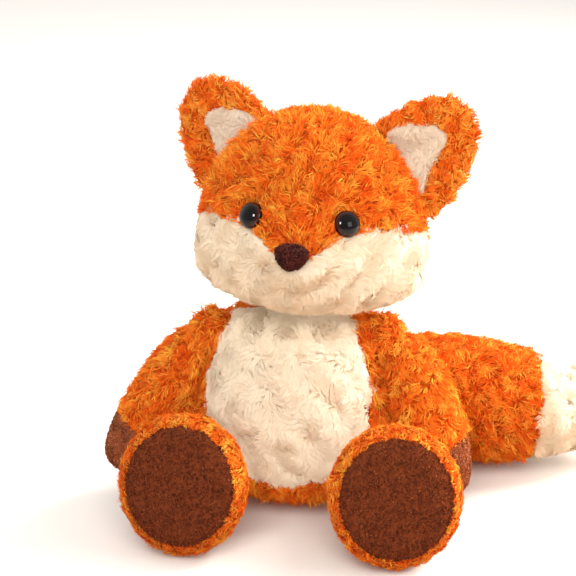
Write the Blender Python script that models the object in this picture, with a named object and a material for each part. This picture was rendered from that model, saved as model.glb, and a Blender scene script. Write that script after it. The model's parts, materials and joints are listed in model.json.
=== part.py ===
"""A seated plush fox, built the way it is sewn: plush covers and panels over loose stuffing.

The fox faces -Y and sits on the XY plane. Left and right are the fox's own, so left is +X.
The origin is the middle of the flat that it sits on. Lengths are in metres and angles in
degrees. Each cover is a hollow bag of PLUSH thickness, open at its seam, with its stuffing
inside. A limb has a round root that lies in a socket of the piece that it is sewn to, and
the middle of that root is the joint that the limb swings about.
"""

import math

import bmesh
import bpy
from mathutils import Matrix, Vector

# Fits
CLEARANCE = 0.0004
SEAM_GAP = 0.0005
FLAT_DEPTH = 0.0005
CUT_OVERRUN = 0.02

# Plush fabric, pile and backing together
PLUSH = 0.006
EAR_PLUSH = 0.005
VELOUR = 0.0015

# Body
BODY_HALF_WIDTH = 0.078
BODY_FRONT = 0.073
BODY_BACK = 0.070
BODY_WIDEST_HEIGHT = 0.060
BODY_CROWN_HEIGHT = 0.168
BODY_BASE_EXPONENT = 3.2
BODY_CROWN_EXPONENT = 1.85

# Belly panel, as half widths at heights, both from the bottom of the panel to its top
BELLY_HALF_WIDTH = 0.058
BELLY_OUT = -0.0035
BELLY_BOTTOM_HEIGHT = 0.030
BELLY_TOP_HEIGHT = 0.160
BELLY_OUTLINE_SHARES = (
    (0.0, 0.0),
    (0.42, 0.03),
    (0.72, 0.12),
    (0.93, 0.25),
    (1.0, 0.40),
    (0.97, 0.54),
    (0.87, 0.68),
    (0.74, 0.82),
    (0.62, 0.93),
    (0.56, 1.0),
)

# Neck, and the head standing on it
NECK_HEIGHT = 0.145
NECK_OUT = 0.0075
NECK_RADIUS = 0.024
NOD_ANGLE = 8.0
HEAD_TURN = -4.6
HEAD_ROLL = 2.0
HEAD_HALF_WIDTH = 0.085
HEAD_FRONT = 0.064
HEAD_BACK = 0.062
HEAD_HEIGHT = 0.143
CHEEK_HEIGHT = 0.038
HEAD_BASE_EXPONENT = 2.7
HEAD_CROWN_EXPONENT = 2.1
MUZZLE_REACH = 0.023
MUZZLE_HALF_WIDTH = 0.034
MUZZLE_HALF_HEIGHT = 0.028
MUZZLE_HEIGHT = 0.057

# Cream mask of the face, as half widths and heights of its upper edge
MASK_HALF_WIDTH = 0.083
MASK_NOSE_HEIGHT = 0.056
MASK_CHEEK_HEIGHT = 0.070
MASK_SIDE_HEIGHT = 0.0555
MASK_BACK = 0.006
MASK_EDGE_SHARES = (
    (0.0, 0.0),
    (0.12, 0.04),
    (0.19, 0.33),
    (0.27, 0.62),
    (0.37, 0.90),
    (0.50, 1.0),
    (0.70, 0.98),
    (0.86, 0.74),
)

# Eyes, which are snap-in plastic eyes held by washers
EYE_RADIUS = 0.0092
EYE_DOME = 0.0058
EYE_FLANGE = 0.0012
EYE_SINK = 0.0012
EYE_SPACING_SHARE = 0.391
EYE_HEIGHT = 0.0790
EYE_DOME_RINGS = 5
SHANK_RADIUS = 0.0022
SHANK_LENGTH = 0.0125
WASHER_RADIUS = 0.0080
WASHER_THICKNESS = 0.0016
WASHER_DEPTH = 0.0068

# Nose pad
NOSE_HALF_WIDTH = 0.0118
NOSE_HALF_HEIGHT = 0.0100
NOSE_DEPTH = 0.0125
NOSE_HEIGHT = 0.0595
NOSE_SINK = 0.0045
NOSE_TAPER_SHARE = 0.34
NOSE_PITCH = 16.0

# Ears
EAR_RADIUS = 0.056
EAR_HALF_THICKNESS = 0.0115
EAR_CUP = 0.008
EAR_OUTLINE_SHARES = (
    (-180.0, 0.80),
    (-140.0, 0.80),
    (-100.0, 0.82),
    (-60.0, 0.82),
    (-25.0, 0.97),
    (0.0, 1.0),
    (20.0, 0.89),
    (45.0, 0.71),
    (70.0, 0.64),
    (100.0, 0.68),
    (130.0, 0.79),
    (155.0, 0.84),
    (180.0, 0.80),
)
EAR_OUTS = {"left": 0.073, "right": 0.065}
EAR_BACK = 0.012
EAR_HEIGHT = 0.104
EAR_LEANS = {"left": 37.0, "right": 31.0}
EAR_YAW = 8.0
EAR_ROOT_OUT = 0.058
EAR_ROOT_HEIGHT = 0.087
EAR_ROOT_LEAN = 24.5
EAR_FOLD_ANGLE = 10.0
EAR_LINING_HALF_WIDTH = 0.022
EAR_LINING_INSET = 0.003
EAR_LINING_DEPTH_SHARE = 0.4
EAR_LINING_BOTTOM = -0.022
EAR_LINING_TOP = 0.031
EAR_LINING_SHARES = (
    (0.34, 0.0),
    (0.46, 0.25),
    (0.70, 0.50),
    (0.95, 0.72),
    (1.0, 0.82),
    (0.84, 0.93),
    (0.46, 1.0),
)

# Arms
SHOULDER_HEIGHT = 0.1215
SHOULDER_FORWARD = 0.006
SHOULDER_OUTSET = 0.001
SHOULDER_RADIUS = 0.013
SHOULDER_HALF_LENGTH = 0.019
SHOULDER_YAWS = {"left": 18.0, "right": 9.0}
SEAM_AT_SHOULDER = 0.003
ARM_LENGTH = 0.127
ARM_FORWARD = 0.010
ARM_RADIUS = 0.0270
ARM_ROOT_SHARE = 0.40
ARM_RADIUS_SHARES = (
    (0.0, 0.42),
    (0.13, 0.82),
    (0.25, 0.98),
    (0.45, 1.0),
    (0.7, 1.02),
    (1.0, 0.94),
)
ARM_TIP_EXPONENT = 3.4
ARM_SPREADS = {"left": 29.0, "right": 35.5}
ARM_BOWS = {"left": 0.0065, "right": 0.0}
ARM_BOW_SHARE = 0.65
ARM_LIFT_ANGLE = 40.0
PAW_LENGTH = 0.040

# Legs
HIP_HEIGHT = 0.033
HIP_OUT = 0.050
HIP_RADIUS = 0.0215
SEAM_AT_HIP = 0.008
LEG_LENGTHS = {"left": 0.080, "right": 0.074}
LEG_LIFT_ANGLE = 25.0
FOOT_HALF_WIDTHS = {"left": 0.0485, "right": 0.0480}
FOOT_HALF_HEIGHT = 0.0520
FOOT_PITCH = 17.0
FOOT_TURN_SHARE = 1.5
FOOT_YAWS = {"left": 6.0, "right": 5.0}
FOOT_OUTSETS = {"left": 0.0203, "right": 0.0135}
LEG_ROOT_SHARE = 0.40
LEG_RADIUS_SHARES = (
    (0.0, 0.40),
    (0.2, 0.50),
    (0.4, 0.62),
    (0.6, 0.85),
    (0.8, 1.0),
    (1.0, 0.93),
)
LEG_TIP_EXPONENT = 7.0
SOLE_SHARE = 0.845
SOLE_DEPTH = 0.012

# Tail
TAIL_ROOT_HEIGHT = 0.043
TAIL_ROOT_OUT = 0.022
TAIL_ROOT_OUTSET = 0.003
TAIL_ROOT_RADIUS = 0.020
SEAM_AT_TAIL = 0.006
TAIL_REACH = 0.225
TAIL_RADIUS = 0.0495
TAIL_ROOT_SHARE = 0.30
TAIL_SWING_ANGLE = 90.0
TAIL_PATH_SHARES = (
    (0.0, 0.0),
    (0.085, 0.05),
    (0.21, 0.05),
    (0.34, -0.01),
    (0.47, -0.065),
    (0.60, -0.085),
    (0.74, -0.07),
    (0.87, -0.03),
    (1.0, 0.02),
)
TAIL_RADIUS_SHARES = (
    (0.0, 0.30),
    (0.1, 0.46),
    (0.22, 0.80),
    (0.36, 0.96),
    (0.5, 1.0),
    (0.7, 0.96),
    (0.86, 0.80),
    (1.0, 0.66),
)
TAIL_TIP_EXPONENT = 3.2
TAIL_TIP_SHARE = 0.69

# Counts of sides and rings, which set how finely a form is drawn
BODY_GRID = (24, 13)
HEAD_GRID = (26, 15)
ARM_GRID = (12, 10)
LEG_GRID = (16, 11)
TAIL_GRID = (16, 13)
EAR_GRID = (18, 8)
NOSE_GRID = (12, 8)
BALL_GRID = (16, 8)
INNER_GRID_SHARE = 0.6
ROUND_SIDES = 16
ROOT_RING_SHARE = 0.24

# Working values: how far cutters reach, small steps along a form, and limits on angles
LARGE = 0.5
STEP_SHARE = 0.02
MERGE_DISTANCE = CLEARANCE / 20
FLAT_ANGLE = 0.4
SHARP_ANGLE = 50.0

SIDES = {"left": 1, "right": -1}


def rotation(angle, axis):
    """A 4x4 turn of an angle in degrees about an axis name or a vector."""
    return Matrix.Rotation(math.radians(angle), 4, axis)


def smooth_table(table, share):
    """The value at a share along a table of (share, value), eased between its entries."""
    if share <= table[0][0]:
        return table[0][1]
    for (start, low), (end, high) in zip(table, table[1:]):
        if share <= end:
            part = (share - start) / (end - start)
            before = slope_at(table, start)
            after = slope_at(table, end)
            width = end - start
            square, cube = part * part, part * part * part
            return (
                (2 * cube - 3 * square + 1) * low
                + (cube - 2 * square + part) * width * before
                + (3 * square - 2 * cube) * high
                + (cube - square) * width * after
            )
    return table[-1][1]


def slope_at(table, share):
    """The slope of a table at one of its entries, from the entries on both sides."""
    place = [entry[0] for entry in table].index(share)
    low = table[max(place - 1, 0)]
    high = table[min(place + 1, len(table) - 1)]
    return (high[1] - low[1]) / (high[0] - low[0])


def ease(share):
    """A smooth step from 0 to 1."""
    share = min(max(share, 0.0), 1.0)
    return share * share * (3 - 2 * share)


def rounded(direction, exponent):
    """A unit direction as (x, y, z) shares of a form whose upright section is a superellipse."""
    level = math.copysign(abs(direction.z) ** (2 / exponent), direction.z)
    flat = math.hypot(direction.x, direction.y)
    if flat == 0:
        return Vector((0, 0, level))
    wide = flat ** (2 / exponent)
    return Vector((direction.x / flat * wide, direction.y / flat * wide, level))


# Forms: each turns a unit direction into a point, with the surface moved in by an inset


def body_point(direction, inset=0.0):
    """The outside of the body, in the fox's frame."""
    exponent = BODY_CROWN_EXPONENT if direction.z > 0 else BODY_BASE_EXPONENT
    share = rounded(direction, exponent)
    depth = BODY_FRONT if direction.y < 0 else BODY_BACK
    if direction.z > 0:
        rise = BODY_CROWN_HEIGHT - BODY_WIDEST_HEIGHT
    else:
        rise = BODY_WIDEST_HEIGHT + FLAT_DEPTH
    return Vector(
        (
            share.x * (BODY_HALF_WIDTH - inset),
            share.y * (depth - inset),
            BODY_WIDEST_HEIGHT + share.z * (rise - inset),
        )
    )


def body_level_share(height):
    """How wide the body is at a height, as a share of its widest."""
    if height > BODY_WIDEST_HEIGHT:
        part = (height - BODY_WIDEST_HEIGHT) / (BODY_CROWN_HEIGHT - BODY_WIDEST_HEIGHT)
        exponent = BODY_CROWN_EXPONENT
    else:
        part = (BODY_WIDEST_HEIGHT - height) / (BODY_WIDEST_HEIGHT + FLAT_DEPTH)
        exponent = BODY_BASE_EXPONENT
    return (1 - part**exponent) ** (1 / exponent)


def body_side(height, forward):
    """How far out the body's side is at a height and a distance forward of its middle."""
    share = body_level_share(height)
    part = min(forward / (BODY_FRONT * share), 1.0)
    return BODY_HALF_WIDTH * share * math.sqrt(1 - part * part)


def body_face(height, out):
    """How far forward the body's front is at a height and a distance out from its middle."""
    share = body_level_share(height)
    part = min(out / (BODY_HALF_WIDTH * share), 1.0)
    return BODY_FRONT * share * math.sqrt(1 - part * part)


def muzzle_rise(x, z):
    """How far the muzzle stands out of the face, at a place across and up the head."""
    across = x / MUZZLE_HALF_WIDTH
    up = (z - MUZZLE_HEIGHT) / MUZZLE_HALF_HEIGHT
    return MUZZLE_REACH * math.exp(-(across * across + up * up))


def head_surface(direction):
    """The outside of the head, from the neck joint, facing -Y."""
    exponent = HEAD_CROWN_EXPONENT if direction.z > 0 else HEAD_BASE_EXPONENT
    share = rounded(direction, exponent)
    depth = HEAD_FRONT if direction.y < 0 else HEAD_BACK
    rise = HEAD_HEIGHT - CHEEK_HEIGHT if direction.z > 0 else CHEEK_HEIGHT
    x = share.x * HEAD_HALF_WIDTH
    y = share.y * depth
    z = CHEEK_HEIGHT + share.z * rise
    if direction.y < 0:
        y += muzzle_rise(x, z) * share.y
    return Vector((x, y, z))


def head_point(direction, inset=0.0):
    """The head, moved in square to its surface by an inset."""
    first = direction.orthogonal().normalized()
    second = direction.cross(first)
    rises = []
    for tangent in (first, second):
        ahead = head_surface((direction + tangent * STEP_SHARE).normalized())
        behind = head_surface((direction - tangent * STEP_SHARE).normalized())
        rises.append(ahead - behind)
    normal = rises[0].cross(rises[1]).normalized()
    return head_surface(direction) - normal * inset


def face_point(x, z):
    """The point of the face above its cheeks, at a place across and up the head."""
    across = abs(x) / HEAD_HALF_WIDTH
    up = ((z - CHEEK_HEIGHT) / (HEAD_HEIGHT - CHEEK_HEIGHT)) ** HEAD_CROWN_EXPONENT
    level = (1 - up) ** (1 / HEAD_CROWN_EXPONENT)
    forward = math.sqrt(level * level - across * across)
    return Vector((x, -forward * (HEAD_FRONT + muzzle_rise(x, z)), z))


def face_normal(x, z):
    """The way the face points at a place across and up the head."""
    step = EYE_RADIUS / 2
    here = face_point(x, z)
    across = face_point(x + step, z) - here
    up = face_point(x, z + step) - here
    return across.cross(up).normalized()


def ear_point(direction, inset=0.0, sign=1):
    """The outside of an ear about its own middle, tip up, with its hollow side to -Y."""
    turn = math.degrees(math.atan2(sign * direction.x, direction.z))
    spread = math.hypot(direction.x, direction.z)
    reach = spread * (EAR_RADIUS * smooth_table(EAR_OUTLINE_SHARES, turn) - inset)
    flat = spread or 1.0
    thick = (EAR_HALF_THICKNESS - inset) * direction.y
    return Vector(
        (
            direction.x / flat * reach,
            thick + EAR_CUP * (1 - spread * spread),
            direction.z / flat * reach,
        )
    )


def nose_point(direction, inset=0.0):
    """The nose pad, wider above than below, with its back in the XZ plane."""
    width = (NOSE_HALF_WIDTH - inset) * (1 + NOSE_TAPER_SHARE * direction.z)
    return Vector(
        (
            width * direction.x,
            (NOSE_DEPTH - inset) * direction.y,
            (NOSE_HALF_HEIGHT - inset) * direction.z,
        )
    )


def along_limb(direction, root_radius, length, inset):
    """Where a point of a sphere goes along a limb: its distance past the joint."""
    share = math.asin(max(-1.0, min(1.0, direction.z))) / math.pi + 0.5
    if share < ROOT_RING_SHARE:
        turn = share / ROOT_RING_SHARE * math.pi / 2
        return -(root_radius - inset) * math.cos(turn)
    turn = (share - ROOT_RING_SHARE) / (1 - ROOT_RING_SHARE) * math.pi / 2
    return (length - inset) * math.sin(turn)


def limb_size(distance, root_radius, length, radius, shares, exponent, inset):
    """A limb's half size at a distance past its joint, round at both ends."""
    if distance < 0:
        part = min(-distance / (root_radius - inset), 1.0)
        return (root_radius - inset) * math.sqrt(1 - part * part)
    share = min(distance / (length - inset), 1.0)
    tip = (1 - share**exponent) ** (1 / exponent)
    return (radius * smooth_table(shares, share) - inset) * tip


def arm_point(direction, inset=0.0, bow=0.0):
    """An arm that hangs down its own -Z from the shoulder joint, bowed out along X."""
    root = ARM_ROOT_SHARE * ARM_RADIUS
    distance = along_limb(direction, root, ARM_LENGTH, inset)
    half = limb_size(
        distance, root, ARM_LENGTH, ARM_RADIUS, ARM_RADIUS_SHARES, ARM_TIP_EXPONENT, inset
    )
    flat = math.hypot(direction.x, direction.y) or 1.0
    share = max(distance / ARM_LENGTH, 0.0)
    forward = ARM_FORWARD * ease(share)
    outward = bow * math.sin(math.pi * min(share, 1.0) ** ARM_BOW_SHARE)
    return Vector(
        (
            direction.x / flat * half + outward,
            direction.y / flat * half - forward,
            -distance,
        )
    )


def leg_point(direction, inset=0.0, length=0.0, wide=0.0, outset=0.0, rise=0.0):
    """A leg along its own +Z from the hip joint, with its foot moved out and up."""
    root = LEG_ROOT_SHARE * wide
    distance = along_limb(direction, root, length, inset)
    size = (distance, root, length)
    style = (LEG_RADIUS_SHARES, LEG_TIP_EXPONENT, inset)
    half_width = limb_size(*size, wide, *style)
    half_height = limb_size(*size, FOOT_HALF_HEIGHT, *style)
    flat = math.hypot(direction.x, direction.y) or 1.0
    part = ease(distance / length * FOOT_TURN_SHARE)
    return Vector(
        (
            direction.x / flat * half_width + outset * part,
            direction.y / flat * half_height + rise * part,
            distance,
        )
    )


def resting_rise(point, grid, joint, slope, **options):
    """How far a limb's end moves up, square to the limb, to lie on the table."""
    sides, rings = grid
    heights = []
    for side in range(sides):
        around = math.tau * side / sides
        for ring in range(1, rings):
            down = math.pi * ring / rings
            flat = math.sin(down)
            direction = (math.cos(around) * flat, math.sin(around) * flat, math.cos(down))
            heights.append((joint @ point(Vector(direction), **options)).z)
    return (-FLAT_DEPTH - min(heights)) / math.cos(math.radians(slope))


def tail_spine(share):
    """The middle of the tail and its heading, at a share of its reach from its root."""
    path_x = [(place / (len(TAIL_PATH_SHARES) - 1), p[0]) for place, p in enumerate(TAIL_PATH_SHARES)]
    path_y = [(place / (len(TAIL_PATH_SHARES) - 1), p[1]) for place, p in enumerate(TAIL_PATH_SHARES)]
    before = max(share - STEP_SHARE, 0.0)
    after = min(share + STEP_SHARE, 1.0)

    def place_at(part):
        radius = TAIL_RADIUS * smooth_table(TAIL_RADIUS_SHARES, part)
        middle = radius - FLAT_DEPTH - TAIL_ROOT_HEIGHT
        return Vector(
            (
                TAIL_REACH * smooth_table(path_x, part),
                TAIL_REACH * smooth_table(path_y, part),
                middle * ease(2 * part),
            )
        )

    return place_at(share), (place_at(after) - place_at(before)).normalized()


def tail_point(direction, inset=0.0):
    """The tail from its joint, lying to the fox's left along its spine."""
    root = TAIL_ROOT_SHARE * TAIL_RADIUS
    distance = along_limb(direction, root, TAIL_REACH, inset)
    half = limb_size(
        distance, root, TAIL_REACH, TAIL_RADIUS, TAIL_RADIUS_SHARES, TAIL_TIP_EXPONENT, inset
    )
    middle, heading = tail_spine(max(distance, 0.0) / TAIL_REACH)
    if distance < 0:
        middle = heading * distance
    side = Vector((0, 0, 1)).cross(heading).normalized()
    above = heading.cross(side)
    flat = math.hypot(direction.x, direction.y) or 1.0
    return middle + side * (direction.x / flat * half) + above * (direction.y / flat * half)


# Objects


def clear_scene():
    """Removes what Blender starts with."""
    for obj in list(bpy.data.objects):
        bpy.data.objects.remove(obj)


def collection(name):
    """A new collection in the scene."""
    made = bpy.data.collections.new(name)
    bpy.context.scene.collection.children.link(made)
    return made


def material(name, colour, roughness, metallic=0.0):
    """A plain Principled material."""
    made = bpy.data.materials.new(name)
    made.use_nodes = True
    shader = made.node_tree.nodes["Principled BSDF"]
    shader.inputs["Base Color"].default_value = (*colour, 1.0)
    shader.inputs["Roughness"].default_value = roughness
    shader.inputs["Metallic"].default_value = metallic
    made.diffuse_color = (*colour, 1.0)
    return made


def put(name, mesh, place, finish=None, parent=None, cutter=False):
    """A new object with a mesh, at a place under its parent. A cutter isn't rendered."""
    obj = bpy.data.objects.new(name, mesh)
    (CUTTERS if cutter else PARTS).objects.link(obj)
    obj.parent = parent
    obj.matrix_local = place
    if finish:
        mesh.materials.append(finish)
    if cutter:
        obj.hide_render = True
        obj.display_type = "WIRE"
    bpy.context.view_layer.update()
    return obj


def form_mesh(name, grid, point, **options):
    """A closed soft form: a sphere whose points a formula moves."""
    shape = bmesh.new()
    sides, rings = grid
    bmesh.ops.create_uvsphere(shape, u_segments=sides, v_segments=rings, radius=1)
    for vertex in shape.verts:
        vertex.co = point(vertex.co.normalized(), **options)
    bmesh.ops.triangulate(shape, faces=shape.faces, quad_method="FIXED")
    bmesh.ops.recalc_face_normals(shape, faces=shape.faces)
    mesh = bpy.data.meshes.new(name)
    shape.to_mesh(mesh)
    shape.free()
    mesh.shade_smooth()
    return mesh


def inner_grid(grid):
    """The coarser grid of a form that lies inside another."""
    sides, rings = grid
    return (2 * round(sides * INNER_GRID_SHARE / 2), round(rings * INNER_GRID_SHARE))


def box_mesh(name, low, high):
    """A box between two corners."""
    shape = bmesh.new()
    bmesh.ops.create_cube(shape, size=1)
    size = high - low
    bmesh.ops.scale(shape, vec=size, verts=shape.verts)
    bmesh.ops.translate(shape, vec=(low + high) / 2, verts=shape.verts)
    mesh = bpy.data.meshes.new(name)
    shape.to_mesh(mesh)
    shape.free()
    return mesh


def cylinder_mesh(name, radius, low, high):
    """A cylinder about Z between two heights."""
    shape = bmesh.new()
    bmesh.ops.create_cone(
        shape,
        cap_ends=True,
        segments=ROUND_SIDES,
        radius1=radius,
        radius2=radius,
        depth=high - low,
    )
    bmesh.ops.translate(shape, vec=(0, 0, (low + high) / 2), verts=shape.verts)
    mesh = bpy.data.meshes.new(name)
    shape.to_mesh(mesh)
    shape.free()
    return mesh


def prism_mesh(name, outline, low, high):
    """An outline of (x, z) points, carried along Y from low to high."""
    shape = bmesh.new()
    front = [shape.verts.new((x, low, z)) for x, z in outline]
    face = shape.faces.new(front)
    made = bmesh.ops.extrude_face_region(shape, geom=[face])
    moved = [item for item in made["geom"] if isinstance(item, bmesh.types.BMVert)]
    bmesh.ops.translate(shape, vec=(0, high - low, 0), verts=moved)
    bmesh.ops.recalc_face_normals(shape, faces=shape.faces)
    mesh = bpy.data.meshes.new(name)
    shape.to_mesh(mesh)
    shape.free()
    return mesh


def combine(obj, other, operation):
    """Cuts an object by another, keeps what they share, or joins them, in place."""
    step = obj.modifiers.new(operation.lower(), "BOOLEAN")
    step.operation = operation
    step.object = other
    bpy.context.view_layer.update()
    graph = bpy.context.evaluated_depsgraph_get()
    mesh = bpy.data.meshes.new_from_object(obj.evaluated_get(graph))
    obj.modifiers.remove(step)
    old = obj.data
    obj.data = mesh
    bpy.data.meshes.remove(old)


def cut(obj, *cutters):
    """Cuts each cutter away from an object."""
    for cutter in cutters:
        combine(obj, cutter, "DIFFERENCE")


def tidy(obj):
    """Melts flat specks that cuts leave, so that the solid stays light."""
    shape = bmesh.new()
    shape.from_mesh(obj.data)
    bmesh.ops.remove_doubles(shape, verts=shape.verts, dist=MERGE_DISTANCE)
    bmesh.ops.dissolve_limit(
        shape,
        angle_limit=math.radians(FLAT_ANGLE),
        verts=shape.verts,
        edges=shape.edges,
    )
    bmesh.ops.triangulate(shape, faces=shape.faces)
    shape.to_mesh(obj.data)
    shape.free()
    obj.data.shade_smooth()
    obj.data.set_sharp_from_angle(angle=math.radians(SHARP_ANGLE))


def turned_mesh(name, profile, sides=ROUND_SIDES):
    """A profile of (radius, height) points turned about Z, which it starts and ends on."""
    shape = bmesh.new()
    points = [shape.verts.new((radius, 0, height)) for radius, height in profile]
    edges = [shape.edges.new(pair) for pair in zip(points, points[1:])]
    bmesh.ops.spin(
        shape,
        geom=points + edges,
        cent=(0, 0, 0),
        axis=(0, 0, 1),
        angle=math.tau,
        steps=sides,
    )
    bmesh.ops.remove_doubles(shape, verts=shape.verts, dist=MERGE_DISTANCE)
    bmesh.ops.recalc_face_normals(shape, faces=shape.faces)
    mesh = bpy.data.meshes.new(name)
    shape.to_mesh(mesh)
    shape.free()
    return mesh


def ball_mesh(name, radius, half_length, axis, socket=False):
    """A ball, or a spheroid, that turns about an axis, or a socket that clears it all round."""
    sides, rings = BALL_GRID
    if socket:
        radius = (radius + CLEARANCE) / math.cos(math.pi / sides)
        half_length += CLEARANCE
    shape = bmesh.new()
    bmesh.ops.create_uvsphere(shape, u_segments=sides, v_segments=rings, radius=1)
    bmesh.ops.scale(shape, vec=(radius, radius, half_length), verts=shape.verts)
    turn = Vector((0, 0, 1)).rotation_difference(axis).to_matrix()
    bmesh.ops.rotate(shape, matrix=turn, verts=shape.verts)
    mesh = bpy.data.meshes.new(name)
    shape.to_mesh(mesh)
    shape.free()
    return mesh


def half_space(name, point, normal, reach=LARGE):
    """A cutter that fills what is past a point, the way that the normal points."""
    mesh = box_mesh(name, Vector((-reach, -reach, 0)), Vector((reach, reach, reach)))
    turn = Vector((0, 0, 1)).rotation_difference(normal).to_matrix().to_4x4()
    return put(name, mesh, Matrix.Translation(point) @ turn, cutter=True)


def twin(obj, name):
    """A copy of an object to work on."""
    made = put(name, obj.data.copy(), obj.matrix_world.copy(), cutter=True)
    return made


def keep(obj, name, parent, finish):
    """Turns a worked solid into a named part under its parent."""
    place = obj.matrix_world.copy()
    CUTTERS.objects.unlink(obj)
    PARTS.objects.link(obj)
    obj.name = name
    obj.data.name = name
    obj.hide_render = False
    obj.display_type = "TEXTURED"
    obj.data.materials.clear()
    obj.data.materials.append(finish)
    obj.parent = parent
    bpy.context.view_layer.update()
    obj.matrix_world = place
    tidy(obj)
    return obj


def split(obj, name, cutter, inner_cutter):
    """Takes what a cutter holds out of an object, as an object of its own with a gap round it."""
    panel = twin(obj, name)
    combine(panel, inner_cutter, "INTERSECT")
    cut(obj, cutter)
    return panel


def swept_cut(obj, larger, joint, axis, angles):
    """Cuts an object wherever a larger one gets to as the object swings about its joint."""
    place = larger.matrix_world.copy()
    for angle in angles:
        larger.matrix_world = joint @ rotation(-angle, axis) @ joint.inverted() @ place
        bpy.context.view_layer.update()
        cut(obj, larger)
    larger.matrix_world = place
    bpy.context.view_layer.update()


def steps(low, high, count):
    """Evenly spaced angles from low to high."""
    return [low + (high - low) * place / (count - 1) for place in range(count)]


def limb_solid(name, limb, inset, grid, larger):
    """A limb moved in by an inset: its form, clear of the body as it swings, and its round root."""
    mesh = form_mesh(name, grid, limb["point"], inset=inset, **limb["options"])
    obj = put(name, mesh, limb["joint"], cutter=True)
    swept_cut(obj, larger, limb["joint"], limb["axis"], limb["angles"])
    radius, half_length = limb["root"]
    mesh = ball_mesh(name + " root", radius - inset, half_length - inset, limb["axis"])
    combine(obj, put(name + " root", mesh, limb["joint"], cutter=True), "UNION")
    cut(obj, GROUND)
    return obj


def limb_parts(name, limb):
    """A limb's cover, open where it is sewn on, and its stuffing, whose root fills its socket."""
    inner = inner_grid(limb["grid"])
    cover = limb_solid(name + " outside", limb, 0.0, limb["grid"], BODY_REACH[0])
    hollow = limb_solid(name + " inside", limb, PLUSH, inner, BODY_REACH[1])
    stuffing = limb_solid(name + " filling", limb, PLUSH + CLEARANCE, inner, BODY_REACH[2])
    middle = limb["joint"].to_translation()
    seam = middle + limb["inward"] * limb["seam"]
    root = limb["root"]
    plug_mesh = ball_mesh(name + " plug", root[0], root[1], limb["axis"])
    plug = put(name + " plug", plug_mesh, limb["joint"], cutter=True)
    past = seam + limb["inward"] * CLEARANCE
    reach = max(root) + CLEARANCE
    combine(plug, half_space(name + " seam", past, limb["inward"], reach), "INTERSECT")
    combine(stuffing, plug, "UNION")
    cut(cover, hollow, half_space(name + " mouth", seam, limb["inward"], reach))
    socket = ball_mesh(name + " socket", root[0], root[1], limb["axis"], socket=True)
    limb["socket"] = put(name + " socket", socket, limb["joint"], cutter=True)
    return cover, stuffing


clear_scene()
PARTS = collection("Plush fox")
CUTTERS = collection("Cutters")

ORANGE = material("Orange plush", (0.80, 0.27, 0.03), 0.9)
CREAM = material("Cream plush", (0.86, 0.77, 0.63), 0.9)
BROWN = material("Brown velour", (0.10, 0.045, 0.025), 0.9)
NOSE_BROWN = material("Nose velour", (0.045, 0.012, 0.010), 0.8)
STUFFING = material("Polyester stuffing", (0.82, 0.82, 0.80), 0.95)
EYE_BLACK = material("Black plastic", (0.012, 0.008, 0.007), 0.08)
WASHER_WHITE = material("White plastic", (0.75, 0.75, 0.72), 0.5)

GROUND = half_space("ground", Vector((0, 0, 0)), Vector((0, 0, -1)))
HOME = Matrix.Identity(4)
BODY_REACH = [
    put(
        "body reach " + str(place),
        form_mesh("body reach " + str(place), BODY_GRID, body_point, inset=-reach),
        HOME,
        cutter=True,
    )
    for place, reach in enumerate((CLEARANCE, PLUSH + CLEARANCE, PLUSH + 2 * CLEARANCE))
]

# Body, neck and belly
neck_joint = Matrix.Translation((NECK_OUT, 0, NECK_HEIGHT)) @ rotation(HEAD_TURN, "Z")
slope = math.tan(math.radians(NOD_ANGLE))
collar_profile = (
    (0, NECK_HEIGHT - CLEARANCE),
    (LARGE, NECK_HEIGHT - CLEARANCE - LARGE * slope),
    (LARGE, LARGE),
    (0, LARGE),
)
collar_place = Matrix.Translation((NECK_OUT, 0, 0))
collar = put("neck opening", turned_mesh("neck opening", collar_profile), collar_place, cutter=True)
neck_mesh = ball_mesh("neck socket", NECK_RADIUS, NECK_RADIUS, Vector((0, 0, 1)), socket=True)
ring_slack = 1 / math.cos(math.pi / BALL_GRID[1] / 2)
neck_mesh.transform(Matrix.Scale(ring_slack, 4))
neck_socket = put("neck socket", neck_mesh, neck_joint, cutter=True)

body = put("body outside", form_mesh("body", BODY_GRID, body_point), HOME, cutter=True)
body_inner = inner_grid(BODY_GRID)
hollow = form_mesh("body inside", body_inner, body_point, inset=PLUSH)
filling = form_mesh("body filling", body_inner, body_point, inset=PLUSH + CLEARANCE)
body_filling = put("body filling", filling, HOME, cutter=True)
cut(body, GROUND, put("body inside", hollow, HOME, cutter=True), collar, neck_socket)
cut(body_filling, collar, neck_socket)


def belly_outline(margin):
    """The outline of the belly panel, as (x, z) points, with its edge moved in."""
    height = BELLY_TOP_HEIGHT - BELLY_BOTTOM_HEIGHT - margin
    right = [
        (max(wide * BELLY_HALF_WIDTH - margin, 0.0), BELLY_BOTTOM_HEIGHT + margin + up * height)
        for wide, up in BELLY_OUTLINE_SHARES
    ]
    left = [(-x, z) for x, z in reversed(right[1:])]
    return [(BELLY_OUT + x, z) for x, z in right + left]


BELLY_FRONT = -BODY_FRONT - CUT_OVERRUN
belly_hole = put(
    "belly hole", prism_mesh("belly hole", belly_outline(0.0), BELLY_FRONT, 0.0), HOME, cutter=True
)
belly_shape = put(
    "belly shape",
    prism_mesh("belly shape", belly_outline(SEAM_GAP), BELLY_FRONT, 0.0),
    HOME,
    cutter=True,
)

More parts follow.
